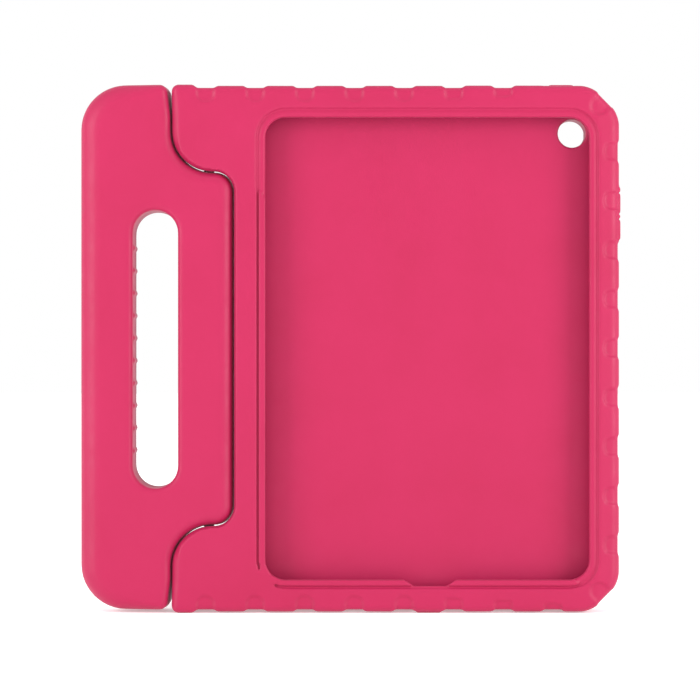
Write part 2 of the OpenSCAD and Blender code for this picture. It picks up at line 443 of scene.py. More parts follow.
def loop_edges(bm: BMesh, depth: float) -> list[BMEdge]:
    """The edges of a prism that lie at one depth in millimetres."""
    return [e for e in bm.edges if all(abs(v.co.y - depth * MM) < 1e-7 for v in e.verts)]


def prism(name: str, corners: Sequence[Corner], front: float, back: float, soft: float = 0.0,
          softness: Callable[[float, float], float] | None = None) -> Object:
    """Makes a plate from an outline, with its front and back edges rounded.

    Args:
        name: the object's name.
        corners: X, Z and corner radius of each corner.
        front: Y of the front face.
        back: Y of the back face.
        soft: radius of the rounded edges, or the largest one.
        softness: the radius at an X and Z, if it varies.

    Returns:
        The plate.
    """
    bm = bmesh.new()
    face = outline_face(bm, corners, front)
    walls = bmesh.ops.extrude_face_region(bm, geom=[face])["geom"]
    moved = [g for g in walls if isinstance(g, BMVert)]
    bmesh.ops.translate(bm, verts=moved, vec=millimetres(0, back - front, 0))
    weights = bm.edges.layers.float.new("bevel_weight_edge")
    for edge in loop_edges(bm, front) + loop_edges(bm, back):
        middle = (edge.verts[0].co + edge.verts[1].co) / 2 / MM
        edge[weights] = softness(middle.x, middle.z) / soft if softness else 1.0
    piece = new_piece(name, bm)
    if soft > 0:
        step = piece.modifiers.new("soft_edges", "BEVEL")
        step.limit_method = "WEIGHT"
        step.width = soft * MM
        step.segments = EDGE_STEPS
        step.use_clamp_overlap = False
        settle(piece)
    return piece


def lofted(name: str, rings: Sequence[tuple[Sequence[Corner], float]]) -> Object:
    """Makes a solid that runs through matching outlines at successive depths.

    Args:
        name: the object's name.
        rings: each outline and its Y, from front to back.

    Returns:
        The solid.
    """
    bm = bmesh.new()
    before = None
    for index, (corners, depth) in enumerate(rings):
        known = set(bm.verts)
        face = outline_face(bm, corners, depth)
        loop = list(face.edges)
        if 0 < index < len(rings) - 1:
            bmesh.ops.delete(bm, geom=[face], context="FACES_ONLY")
        if before is not None:
            bmesh.ops.bridge_loops(bm, edges=before + loop)
        before = [e for e in bm.edges if all(v not in known for v in e.verts)]
    return new_piece(name, bm)


def rectangle(x0: float, z0: float, x1: float, z1: float, radius: float = 0.0) -> list[Corner]:
    """The corners of an upright rectangle with round corners."""
    return [(x0, z0, radius), (x1, z0, radius), (x1, z1, radius), (x0, z1, radius)]


def centred(x: float, z: float, width: float, height: float, radius: float = 0.0) -> list[Corner]:
    """The corners of a rectangle round its middle."""
    return rectangle(x - width / 2, z - height / 2, x + width / 2, z + height / 2, radius)


def drum(name: str, radius: float, low: float, high: float, at: tuple[float, float],
         segments: int = 64) -> Object:
    """Makes a round bar along Z.

    Args:
        name: the object's name.
        radius: its radius.
        low: Z of its lower end.
        high: Z of its upper end.
        at: X and Y of its axis.
        segments: sides.

    Returns:
        The bar.
    """
    bm = bmesh.new()
    middle = Matrix.Translation(millimetres(*at, (low + high) / 2))
    bmesh.ops.create_cone(bm, cap_ends=True, segments=segments, radius1=radius * MM, radius2=radius * MM,
                          depth=(high - low) * MM, matrix=middle)
    return new_piece(name, bm)


def block(name: str, low: Sequence[float], high: Sequence[float]) -> Object:
    """Makes a plain cutting block between two corners."""
    bm = bmesh.new()
    bmesh.ops.create_cube(bm, size=1.0)
    size = Vector(high) - Vector(low)
    bmesh.ops.scale(bm, vec=size * MM, verts=bm.verts[:])
    bmesh.ops.translate(bm, vec=(Vector(low) + Vector(high)) * 0.5 * MM, verts=bm.verts[:])
    return new_piece(name, bm)


def turned(name: str, profile: Sequence[tuple[float, float]], at: tuple[float, float],
           segments: int = 96) -> Object:
    """Spins a closed outline of radius and height round an upright axis.

    Args:
        name: the object's name.
        profile: radius and Z of each point, in order, the first and last on the axis.
        at: X and Y of the axis.
        segments: steps round the axis.

    Returns:
        The turned solid.
    """
    bm = bmesh.new()
    verts = [bm.verts.new(millimetres(r, 0, z)) for r, z in profile]
    edges = [bm.edges.new(pair) for pair in zip(verts, verts[1:])]
    bmesh.ops.spin(bm, geom=verts + edges, cent=(0, 0, 0), axis=(0, 0, 1), angle=math.tau,
                   steps=segments, use_merge=True)
    bmesh.ops.remove_doubles(bm, verts=bm.verts[:], dist=1e-6)
    bmesh.ops.translate(bm, vec=millimetres(*at, 0), verts=bm.verts[:])
    return new_piece(name, bm)


def turn(piece: Object, degrees: float, centre: Vector, axis: str) -> Object:
    """Turns a piece's mesh about a point.

    Args:
        piece: the piece.
        degrees: the angle.
        centre: the fixed point, in metres.
        axis: "X", "Y" or "Z".

    Returns:
        The same piece.
    """
    spin = Matrix.Rotation(math.radians(degrees), 4, axis)
    piece.data.transform(Matrix.Translation(centre) @ spin @ Matrix.Translation(-centre))
    return piece


def flipped(piece: Object, height: float) -> Object:
    """Turns a piece's mesh upside down about half the case's height.

    Args:
        piece: the piece.
        height: the case's height in millimetres.

    Returns:
        The same piece.
    """
    piece.data.transform(Matrix.Translation(millimetres(0, 0, height)) @ Matrix.Scale(-1, 4, (0, 0, 1)))
    with opened(piece) as bm:
        bmesh.ops.recalc_face_normals(bm, faces=bm.faces[:])
    return piece


def settle(piece: Object) -> None:
    """Applies a piece's modifiers to its mesh."""
    bpy.context.view_layer.update()
    solved = piece.evaluated_get(bpy.context.evaluated_depsgraph_get())
    mesh = bpy.data.meshes.new_from_object(solved)
    old = piece.data
    piece.modifiers.clear()
    piece.data = mesh
    bpy.data.meshes.remove(old)


def carve(piece: Object, tools: Iterable[Object], how: Cut = Cut.TAKE_AWAY) -> None:
    """Adds, takes away or keeps other solids, which are used up.

    Args:
        piece: the solid that is changed.
        tools: the other solids.
        how: what is done with them.
    """
    tools = list(tools)
    tool = tools[0]
    for other in tools[1:]:
        carve(tool, [other], Cut.ADD)
    step = piece.modifiers.new("carve", "BOOLEAN")
    step.operation = how.value
    step.solver = "MANIFOLD"
    step.object = tool
    settle(piece)
    mesh = tool.data
    bpy.data.objects.remove(tool)
    bpy.data.meshes.remove(mesh)


def mould(piece: Object, pitch: float, passes: int) -> None:
    """Gives a carved solid the soft, blended skin of moulded foam.

    The solid is remeshed to an even grid, and then its edges relax.

    Args:
        piece: the solid.
        pitch: the grid's spacing in millimetres.
        passes: how many times the skin relaxes.
    """
    step = piece.modifiers.new("skin", "REMESH")
    step.mode = "VOXEL"
    step.voxel_size = pitch * MM
    step.adaptivity = 0.0
    settle(piece)
    with opened(piece) as bm:
        for _ in range(passes):
            bmesh.ops.smooth_vert(bm, verts=bm.verts[:], factor=0.5, use_axis_x=True, use_axis_y=True,
                                  use_axis_z=True)
        bmesh.ops.recalc_face_normals(bm, faces=bm.faces[:])


def smooth_shaded(piece: Object) -> None:
    """Shades a piece smoothly, with broad faces kept flat."""
    piece.data.shade_smooth()
    step = piece.modifiers.new("broad_faces", "WEIGHTED_NORMAL")
    step.mode = "FACE_AREA"
    step.weight = 60


def finish_piece(piece: Object, material: Material, body: Body,
                 stands_for: Sequence[str] = ()) -> None:
    """Shades and dresses a piece and fixes it to its body.

    Args:
        piece: the piece.
        material: its finish.
        body: the body that it moves with.
        stands_for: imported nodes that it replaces.
    """
    smooth_shaded(piece)
    piece.data.materials.clear()
    piece.data.materials.append(material)
    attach(piece, body.value)
    if stands_for:
        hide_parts(*stands_for)
    log.info("%s: %d faces on %s", piece.name, len(piece.data.polygons), body.value)


# ---------------------------------------------------------------- shared sizes


@dataclass(frozen=True)
class Plan:
    """The sizes that tray, handle and hinges share."""

    width: float
    height: float
    thick: float
    hinge_x: float
    set_back: float = 0.6
    arm_h: float = 42.2
    arm_reach: float = 17.2
    arm_round: float = 19.2
    gap: float = 0.5
    swing_room: float = 1.0
    hub_round: float = 10.0
    lean: float = 0.7
    lean_depth: float = 9.0
    lean_reach: float = 7.0
    socket_r: float = 6.45
    socket_skin: float = 3.0
    pin_hole: float = 3.0
    stand_angle: float = 110.0

    @property
    def half(self) -> float:
        """Half the thickness."""
        return self.thick / 2

    @property
    def right(self) -> float:
        """X of the right wall between its recesses."""
        return self.width / 2 - self.set_back - 0.1

    @property
    def top(self) -> float:
        """Z of the top wall between its recesses."""
        return self.height - self.set_back

    @property
    def arm_z(self) -> float:
        """Z of the upper arm's underside."""
        return self.height - self.arm_h

    @property
    def bay_x(self) -> float:
        """X of the tray's wall beside the handle."""
        return self.hinge_x + self.half + self.gap

    @property
    def block_top(self) -> float:
        """Z of the top of the handle's hinge block."""
        return self.arm_z - self.gap

    @property
    def axis(self) -> tuple[float, float]:
        """X and Y of the hinge axis."""
        return self.hinge_x, 0.0

    def mirrored(self, corners: Sequence[Corner]) -> list[Corner]:
        """An outline turned upside down, in the opposite order."""
        return [(x, self.height - z, r) for x, z, r in reversed(corners)]

    def across_gap(self, x: float, z: float) -> Vector:
        """The way across the gap, from the handle to the tray, near a place beside it.

        Args:
            x: X in millimetres.
            z: Z in millimetres.

        Returns:
            A unit vector in X and Z, or a zero one away from the gap.
        """
        flip = -1.0 if z < self.height / 2 else 1.0
        spot = Vector((x, z if flip > 0 else self.height - z))
        arm = Vector((self.hinge_x - self.arm_reach + self.arm_round, self.arm_z + self.arm_round))
        hub = Vector((self.hinge_x + self.half - self.hub_round, self.block_top - self.hub_round))
        if spot.y > arm.y:
            way, off = Vector((1.0, 0.0)), spot.x - arm.x + self.arm_round
        elif spot.x < arm.x and spot.y > hub.y:
            way, off = (arm - spot).normalized(), (arm - spot).length - self.arm_round
        elif spot.y > hub.y:
            way, off = (spot - hub).normalized(), (spot - hub).length - self.hub_round
        else:
            way, off = Vector((1.0, 0.0)), spot.x - self.bay_x
        return Vector((way.x, way.y * flip)) if abs(off) < self.lean_reach else Vector((0.0, 0.0))

    def lean_gap(self, piece: Object) -> None:
        """Leans the walls beside the gap, so that the gap runs slightly askew through the front half.

        Args:
            piece: the tray or the handle.
        """
        with opened(piece) as bm:
            split(bm, (0, 0, 0), (0, 1, 0))
            for vert in bm.verts:
                share = min(max(-vert.co.y / MM / self.lean_depth, 0.0), 1.0)
                way = self.across_gap(vert.co.x / MM, vert.co.z / MM)
                if share > 0 and way.length > 0.5:
                    vert.co -= millimetres(way.x, 0, way.y) * self.lean * share

    def drilled(self, radius: float, low: float, high: float) -> list[Object]:
        """Round cutters on the hinge axis, the same in both hinges.

        Args:
            radius: their radius.
            low: Z of the upper one's lower end.
            high: Z of the upper one's upper end.

        Returns:
            The upper and the lower cutter.
        """
        return [drum("bore", radius, low, high, self.axis),
                drum("bore", radius, self.height - high, self.height - low, self.axis)]

    def arc(self, centre: tuple[float, float], radius: float, start: float, end: float,
            steps: int = 14) -> list[tuple[float, float]]:
        """Points along an arc.

        Args:
            centre: the arc's middle.
            radius: its radius.
            start: first angle in degrees.
            end: last angle in degrees.
            steps: stretches between points.

        Returns:
            The points.
        """
        angles = (math.radians(start + (end - start) * i / steps) for i in range(steps + 1))
        return [(centre[0] + radius * math.cos(a), centre[1] + radius * math.sin(a)) for a in angles]


# ---------------------------------------------------------------- the tray


@dataclass(frozen=True)
class Tray:
    """The foam body: a deep frame round the tablet with two arms that hold the handle."""

    plan: Plan
    soft: float = 3.3
    soft_right: float = 4.4
    soft_arm: float = 5.4
    rim_x: float = 121.5
    rim_slope: float = 0.12
    corner_r: float = 17.0
    tip_w: float = 11.0
    tip_r: float = 3.45
    tablet_x: float = 38.05
    tablet_z: float = 129.9
    tablet_w: float = 169.5
    tablet_h: float = 240.0
    tablet_t: float = 7.8
    pocket_r: float = 10.0
    front_wall: float = 3.5
    screen_x: float = 37.85
    screen_z: float = 130.3
    screen_w: float = 159.5
    screen_h: float = 227.6
    lip_w: float = 4.5
    lip_drop: float = 0.9
    groove_w: float = 1.7
    groove_d: float = 0.7
    nose_r: float = 17.3
    web_y: float = 5.5
    tread_half: float = 4.4
    tread_reach: float = 8.2
    tread_depth: float = 1.0
    wall_depth: float = 0.6
    tread_first_x: float = -71.3
    tread_step_x: float = 24.42
    tread_first_z: float = 33.7
    tread_step_z: float = 24.2
    power_pad: tuple[float, float] = (56.5, 94.5)
    port_pad: tuple[float, float] = (27.0, 50.0)
    volume_pad: tuple[float, float] = (183.0, 210.0)
    low_ports: tuple[tuple[float, float, float], ...] = (
        (0.0, 16.6, 7.0), (-32.0, 21.4, 3.4), (32.0, 21.4, 3.4))
    jack_r: float = 3.6
    jack_inset: float = 15.0
    camera_r: float = 7.0
    camera_inset: float = 12.8
    corner_out: float = 14.3
    corner_in: float = 13.9
    corner_reach: float = 9.2
    pitch: float = 0.6
    passes: int = 3

    @property
    def pocket_front(self) -> float:
        """Y of the pocket's front face."""
        return -self.plan.half + self.front_wall

    @property
    def pocket_back(self) -> float:
        """Y of the pocket's floor."""
        return self.pocket_front + self.tablet_t

    @property
    def port_y(self) -> float:
        """Y of the ports and keys, half way through the tablet."""
        return (self.pocket_front + self.pocket_back) / 2

    @property
    def pocket_right(self) -> float:
        """X of the pocket's right side."""
        return self.tablet_x + self.tablet_w / 2

    @property
    def pocket_top(self) -> float:
        """Z of the pocket's top side."""
        return self.tablet_z + self.tablet_h / 2

    def outline(self) -> list[Corner]:
        """The tray's corners, seen from the front.

        Returns:
            X, Z and radius of each corner, anticlockwise from the lower right.
        """
        p = self.plan
        left = p.hinge_x - p.arm_reach
        upper = [
            *self.corner(self.corner_out, 0.0, 0.0, 5.5),
            (left + self.tip_w + 1.6, p.top, 0.0),
            (left + self.tip_w - 1.6, p.height, 0.0),
            (left, p.height, self.tip_r),
            *[(left, p.height - drop, 0.0) for drop in (5.5, 8.0, 10.5, 13.0, 15.5, 18.0)],
            (left, p.arm_z, p.arm_round),
            (p.bay_x, p.arm_z, p.hub_round + p.gap),
        ]
        return upper + p.mirrored(upper)

    def corner(self, flat: float, in_x: float, in_z: float, blend: float) -> list[Corner]:
        """The two ends of the flattened upper right corner.

        Args:
            flat: how far the flat is from the corner's middle.
            in_x: how far the right wall is moved in.
            in_z: how far the top wall is moved in.
            blend: length of the rounding into each wall.

        Returns:
            The lower and the upper end.
        """
        p = self.plan
        x, z, reach = p.right - self.corner_r, p.top - self.corner_r, flat * math.sqrt(2) - self.corner_r
        return [(p.right - in_x, z + reach + in_x, blend), (x + reach + in_z, p.top - in_z, blend)]

    def softness(self, x: float, z: float) -> float:
        """Radius of the rounded edge at a place on the outline.

        Args:
            x: X in millimetres.
            z: Z in millimetres.

        Returns:
            The radius in millimetres.
        """
        if x > self.plan.right - self.corner_r:
            share = (x - self.plan.right + self.corner_r) / self.corner_r
            return self.soft + (self.soft_right - self.soft) * min(share * 1.1, 1.0)
        p = self.plan
        level = max(z, p.height - z)
        if x > p.bay_x + 1 or level > p.height - 3:
            return self.soft
        if x > p.hinge_x - 1 or level < p.arm_z:
            return self.soft + 0.6
        share = min((p.height - 4 - level) / 14, 0.3 + (p.hinge_x - 1 - x) / 12, 1.0)
        return self.soft + (self.soft_arm - self.soft) * max(share, 0.0)

    def slope_rim(self, piece: Object) -> None:
        """Slopes the right rim's front face gently back towards the outer wall.

        Args:
            piece: the tray or its core.
        """
        with opened(piece) as bm:
            split(bm, millimetres(self.rim_x, 0, 0), (1, 0, 0))
            for vert in bm.verts:
                beyond = vert.co.x / MM - self.rim_x
                if beyond > 0 and vert.co.y < -0.005:
                    vert.co.y += beyond * self.rim_slope * MM

    def core(self) -> Object:
        """The foam under the tread recesses: the tray, shrunk by their depth.

        Returns:
            The core.
        """
        p, d, thin = self.plan, self.tread_depth, self.wall_depth
        left = p.hinge_x - p.arm_reach + 4
        upper = [*self.corner(self.corner_in, thin, d, 5.0), (left, p.top - d, 3.0), (left, p.arm_z + 16, 9.0),
                 (p.bay_x + 5, p.arm_z + 16, 5.0)]
        core = prism("core", upper + p.mirrored(upper), d - p.half, p.half - d, self.soft_right - d,
                     softness=lambda x, z: (self.softness(x, z) if x > p.bay_x + 1 else self.soft) - d)
        self.slope_rim(core)
        return core

    def build(self) -> Object:
        """Builds the foam body.

        Returns:
            The body.
        """
        p = self.plan
        shell = prism("body_shell_foam", self.outline(), -p.half, p.half, self.soft_right,
                      softness=self.softness)
        p.lean_gap(shell)
        self.slope_rim(shell)
        carve(shell, self.pads(), Cut.ADD)
        carve(shell, [self.tread(at, outward) for at, outward in self.tread_places()])
        carve(shell, [self.core(), self.key_pad()], Cut.ADD)
        carve(shell, self.hollow())
        carve(shell, self.hinge_relief())
        carve(shell, self.ports())
        carve(shell, self.bores())
        mould(shell, self.pitch, self.passes)
        return shell

    def pads(self) -> list[Object]:
        """The slightly proud pads over the power key and the charging port.

        Returns:
            The two pads.
        """
        p = self.plan
        return [
            prism("pad_top", rectangle(self.power_pad[0], p.top - 3, self.power_pad[1], p.top + 0.1, 0.04),
                  -10.5, 10.5),
            prism("pad_low", rectangle(self.port_pad[0], 0, self.port_pad[1], 4, 0.5), -9.6, 9.6),
        ]

    def key_pad(self) -> Object:
        """The pad round the volume keys, which bridges one recess in the outer wall."""
        right = self.plan.right
        low, high = self.volume_pad
        return prism("pad_right", rectangle(right - 3, low, right + 0.6, high, 0.5), -9.0, 9.4, 0.5)

    def tread_places(self) -> list[tuple[tuple[float, float], float]]:
        """Where each tread recess meets the outer wall, and which way the wall faces in degrees."""
        p = self.plan
        across_x = [self.tread_first_x + i * self.tread_step_x for i in range(8)]
        places = [((x, p.top), 90.0) for x in across_x[:7]]
        places += [((x, p.set_back), -90.0) for x in across_x]
        places += [((p.right, self.tread_first_z + i * self.tread_step_z), 0.0) for i in range(9)]
        across = self.corner_out * math.cos(math.radians(45))
        for side, level in ((1, p.top - self.corner_r), (-1, p.set_back + self.corner_r)):
            places.append(((p.right - self.corner_r + across, level + side * across), side * 45.0))
        return places

    def tread(self, at: tuple[float, float], outward: float) -> Object:
        """A cutter for one recess, right through the rim; the core then fills it to its depth.

        Args:
            at: X and Z of its middle on the outer wall.
            outward: the way the wall faces, in degrees from +X.

        Returns:
            The cutter.
        """
        angle = math.radians(outward)
        out = Vector((math.cos(angle), math.sin(angle)))
        along = Vector((-out.y, out.x))
        half, flare = self.tread_half, self.tread_depth * 1.3
        reach = self.corner_reach if outward in (45.0, -45.0) else self.tread_reach
        shape = ((-reach, -half, half * 0.96), (-self.tread_depth, -half, 0), (1.0, -half - 2 * flare, 0),
                 (1.0, half + 2 * flare, 0), (-self.tread_depth, half, 0), (-reach, half, half * 0.96))
        spots = [(Vector(at) + out * o + along * a, r) for o, a, r in shape]
        over = self.plan.half + 1
        return prism("tread", [(spot.x, spot.y, r) for spot, r in spots], -over, over)

    def hollow(self) -> list[Object]:
        """The tablet pocket, the screen opening with its lowered lip, and the notch below it.

        Returns:
            The cutters.
        """
        face = -self.plan.half
        lip = face + self.lip_drop

        def opening(grow: float) -> list[Corner]:
            """The screen opening's outline, grown by a length."""
            return centred(self.screen_x, self.screen_z, self.screen_w + 2 * grow, self.screen_h + 2 * grow,
                           self.pocket_r + grow)

        edge = 1.1
        rings = [(opening(edge), face - 1)] + [
            (opening(edge * (1 - math.sin(a))), lip + edge * (1 - math.cos(a))) for a in QUARTER]
        rings.append((opening(0), self.pocket_front + 1))
        low = self.screen_z - self.screen_h / 2
        x, flat, run, deep = self.screen_x + 1.35, 8.6, 5.0, 3.2
        notch = [(x - flat, low - deep, 2.0), (x + flat, low - deep, 2.0), (x + flat + run, low + 0.4, 2.0),
                 (x + flat + run, low + 6, 0), (x - flat - run, low + 6, 0), (x - flat - run, low + 0.4, 2.0)]
        pocket = centred(self.tablet_x, self.tablet_z, self.tablet_w, self.tablet_h, self.pocket_r)
        return [
            prism("pocket", pocket, self.pocket_front, self.pocket_back),
            lofted("opening", rings),
            prism("notch", notch, face - 1, self.pocket_front + 1),
            lofted("lip", [(opening(self.lip_w + 0.5), face - 1), (opening(self.lip_w - 0.7), lip)]),
            self.groove(opening, lip),
        ]

    def groove(self, opening: Callable[[float], list[Corner]], lip: float) -> Object:
        """The fine groove at the outer edge of the lip.

        Args:
            opening: the screen opening's outline, grown by a length.
            lip: Y of the lip's face.

        Returns:
            The cutter.
        """
        face = -self.plan.half
        ring = prism("groove", opening(self.lip_w), face - 1, lip + self.groove_d)
        carve(ring, [prism("groove_inside", opening(self.lip_w - self.groove_w), face - 2, lip + 2)])
        return ring

    def hinge_relief(self) -> list[Object]:
        """Space behind the hinge that the handle passes through as it swings back.

        Returns:
            The cutters.
        """
        p = self.plan
        hinge = Vector((p.hinge_x, 0, 0)) * MM
        tools = []
        bay = p.half + p.swing_room
        middle = p.arm_z + p.arm_round
        hollow_r = p.arm_round + 0.1
        shift = p.arm_reach - p.arm_round
        start = -math.degrees(math.acos(-shift / hollow_r))
        curve = p.arc((shift, middle), hollow_r, start, 0, 20)
        for upside_down in (False, True):
            barrel = drum("bay", bay, p.arm_z - 20, p.arm_z + 0.1, p.axis)
            carve(barrel, [block("half", (-110, -self.web_y, 0), (-40, 30, 300))], Cut.KEEP)
            low = p.arm_z - 0.3
            profile = [(0.0, low), *[(max(r, 0.0), z) for r, z in curve], (self.nose_r + 0.2, middle + 0.1),
                       (self.nose_r + 0.2, low), (0.0, low)]
            sweep = turned("sweep", profile, p.axis)
            carve(sweep, [block("half", (-110, 0, 0), (-40, 30, 300))], Cut.KEEP)
            envelope = prism("envelope", self.envelope(), -p.half - 0.4, p.half + 0.4)
            turn(envelope, -p.stand_angle, hinge, "Z")
            nose = block("nose", (p.hinge_x - 30, 0, p.arm_z - 1), (p.hinge_x, 30, p.height + 2))
            carve(nose, [drum("nose_core", self.nose_r, p.arm_z - 2, p.height + 3, p.axis, 96)])
            for tool in (barrel, sweep, envelope, nose):
                tools.append(flipped(tool, p.height) if upside_down else tool)
        wall = block("wall", (p.hinge_x - 40, -p.half - 0.5, p.arm_h - p.gap),
                     (p.hinge_x, p.half + 0.5, p.arm_z + p.gap))
        tools.append(turn(wall, -p.stand_angle, hinge, "Z"))
        return tools

    def envelope(self) -> list[Corner]:
        """The handle's shoulder, as the outline of what it clears when it is fully back.

        Returns:
            X, Z and radius of each corner.
        """
        p = self.plan
        far = p.hinge_x - p.arm_reach - 6
        arc = p.arc((p.hinge_x - p.arm_reach + p.arm_round, p.arm_z + p.arm_round), p.arm_round, 180, 270, 16)
        points = [(x, z, 0.0) for x, z in arc if x < p.hinge_x - 0.2]
        return [(far, p.arm_z + p.arm_round - 0.1, 0.0), *points, (p.hinge_x, p.arm_z + 0.1, 0.0),
                (p.hinge_x, p.arm_z - 0.1, 0.0), (far, p.arm_z - 0.1, 0.0)]

    def ports(self) -> list[Object]:
        """The charging, loudspeaker, headphone and camera openings.

        Returns:
            The cutters.
        """
        low = self.tablet_z - self.tablet_h / 2
        y = self.port_y
        tools = []
        for x, width, tall in self.low_ports:
            mid = self.tablet_x + x
            for side in (-1, 1):
                tools.append(drum("port", tall / 2, -1, low + 2, (mid + side * (width - tall) / 2, y), 40))
            tools.append(block("port", (mid - (width - tall) / 2, y - tall / 2, -1),
                               (mid + (width - tall) / 2, y + tall / 2, low + 2)))
        tools.append(drum("headphone", self.jack_r, self.pocket_top - 2, self.plan.height + 2,
                          (self.tablet_x - self.tablet_w / 2 + self.jack_inset, y), 48))
        camera = (self.pocket_right - self.camera_inset, self.pocket_top - self.camera_inset)
        back = self.plan.half
        r = self.camera_r
        flare = ((0, self.pocket_back - 1), (0, back - 1.5), (0.3, back - 0.7), (1.4, back + 0.5))
        rings = [(centred(*camera, 2 * (r + g), 2 * (r + g), (r + g) * 0.999), depth) for g, depth in flare]
        tools.append(lofted("camera", rings))
        return tools

    def bores(self) -> list[Object]:
        """The hinge sockets' bores and the key slots.

        Returns:
            The cutters.
        """
        p = self.plan
        skin, end = p.socket_skin, p.socket_skin + 22.2
        slots = [tool for key in KEYS for tool in key.slot(self)]
        return [*p.drilled(p.socket_r, p.arm_z + skin, p.arm_z + end),
                *p.drilled(p.pin_hole, p.arm_z - 1, p.arm_z + skin + 0.5), *slots]


# ---------------------------------------------------------------- the keys


def add_box(bm: BMesh, reach: tuple[float, float], deep: float, tall: float) -> list[BMVert]:
    """Adds a box centred on the X axis.

    Args:
        bm: the mesh to add to.
        reach: X of its two ends.
        deep: its size along Y.
        tall: its size along Z.

    Returns:
        The box's corners.
    """
    verts = bmesh.ops.create_cube(bm, size=1.0)["verts"]
    bmesh.ops.scale(bm, vec=millimetres(reach[1] - reach[0], deep, tall), verts=verts)
    bmesh.ops.translate(bm, vec=millimetres((reach[0] + reach[1]) / 2, 0, 0), verts=verts)
    return verts


def spans_x(edge: BMEdge) -> bool:
    """Whether an edge runs along X."""
    return abs(edge.verts[0].co.x - edge.verts[1].co.x) > 1e-6


def round_edges(bm: BMesh, edges: Sequence[BMEdge], radius: float, segments: int) -> None:
    """Rounds some of a mesh's edges."""
    bmesh.ops.bevel(bm, geom=edges, offset=radius * MM, offset_type="OFFSET", segments=segments, profile=0.5,
                    affect="EDGES", material=-1, clamp_overlap=True)


@dataclass(frozen=True)
class Key:
    """A foam key that stands in a slot of the wall and presses the tablet's own button."""

    name: str
    body: Body
    along: float
    length: float
    on_top: bool
    thick: float = 6.0
    clear: float = 0.3
    flange: float = 1.0
    edge: float = 1.15

    def place(self, piece: Object, tray: Tray) -> Object:
        """Moves a piece drawn outwards along +X to the key's place.

        Args:
            piece: the piece.
            tray: the tray.

        Returns:
            The same piece.
        """
        if self.on_top:
            turn(piece, -90, Vector(), "Y")
            shift = millimetres(self.along, tray.port_y, tray.pocket_top)
        else:
            shift = millimetres(tray.pocket_right, tray.port_y, self.along)
        piece.data.transform(Matrix.Translation(shift))
        return piece

    def slot(self, tray: Tray) -> list[Object]:
        """Cutters for the key's slot.

        Args:
            tray: the tray.

        Returns:
            The cutters for its shaft and its flange's seat.
        """
        y, z = self.thick / 2, self.length / 2
        shaft = block("slot", (-0.5, -y - self.clear, -z - self.clear), (20, y + self.clear, z + self.clear))
        seat = block("slot", (-1, -y - 1.5, -z - 1.5), (2, y + 1.5, z + 1.5))
        return [self.place(piece, tray) for piece in (shaft, seat)]

    def build(self, tray: Tray) -> Object:
        """Builds the key with its flange.

        Args:
            tray: the tray that holds it.

        Returns:
            The key.
        """
        p = tray.plan
        out = (p.height - tray.pocket_top) if self.on_top else (p.width / 2 - tray.pocket_right)
        bm = bmesh.new()
        add_box(bm, (0.2, out), self.thick, self.length)
        round_edges(bm, [e for e in bm.edges if spans_x(e)], 2.4, 8)
        rim = [e for e in bm.edges if all(abs(v.co.x - out * MM) < 1e-7 for v in e.verts)]
        round_edges(bm, rim, self.edge, 6)
        flange = add_box(bm, (0.2, 1.6), self.thick + 2 * self.flange, self.length + 2 * self.flange)
        round_edges(bm, [e for e in bm.edges if all(v in flange for v in e.verts) and spans_x(e)], 1.5, 5)
        piece = new_piece(f"{self.name}_cap", bm)
        return self.place(piece, tray)


KEYS = (
    Key("power_button", Body.POWER, 104.0, 13.0, True),
    Key("volume_up_button", Body.VOLUME_UP, 202.0, 10.5, False),
    Key("volume_down_button", Body.VOLUME_DOWN, 189.0, 10.5, False),
)


# ---------------------------------------------------------------- the handle


